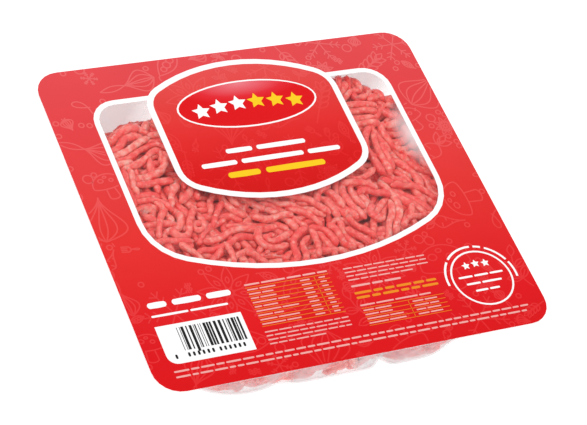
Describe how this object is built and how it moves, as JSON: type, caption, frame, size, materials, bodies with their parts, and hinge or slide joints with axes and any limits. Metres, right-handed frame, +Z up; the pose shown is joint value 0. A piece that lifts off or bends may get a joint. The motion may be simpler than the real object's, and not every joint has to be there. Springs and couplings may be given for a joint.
{
  "type": "meat tray pack",
  "caption": "Sealed clear tray pack of minced meat with fluted walls and a flat red printed lidding film that leaves an arched window.",
  "frame": {"origin": "middle of the tray's flat underside, so the pack stands on z = 0", "axes": "+Z up out of the lid, +X along the lid's longer side to the print's right, +Y towards the print's top"},
  "size_m": [0.2, 0.1854, 0.0393],
  "materials": {
    "tray": "clear, slightly frosted",
    "mince": "moist",
    "film": "clear gloss",
    "red_ink": "gloss",
    "white_ink": "gloss",
    "yellow_ink": "gloss",
    "deep_red_ink": "gloss"
  },
  "bodies": {
    "root": {"tray": "tray", "mince": "mince", "lid_film": "film", "print_field": "red_ink", "window_border": "white_ink", "shield_border": "white_ink", "shield_panel": "red_ink", "emblem_border": "white_ink", "emblem_plaque": "deep_red_ink", "title_bar_upper": "white_ink", "title_bar_middle": "white_ink", "title_bar_lower": "yellow_ink", "weight_bar": "white_ink", "barcode_panel": "white_ink", "seal_ring": "white_ink"}
  },
  "joints": []
}
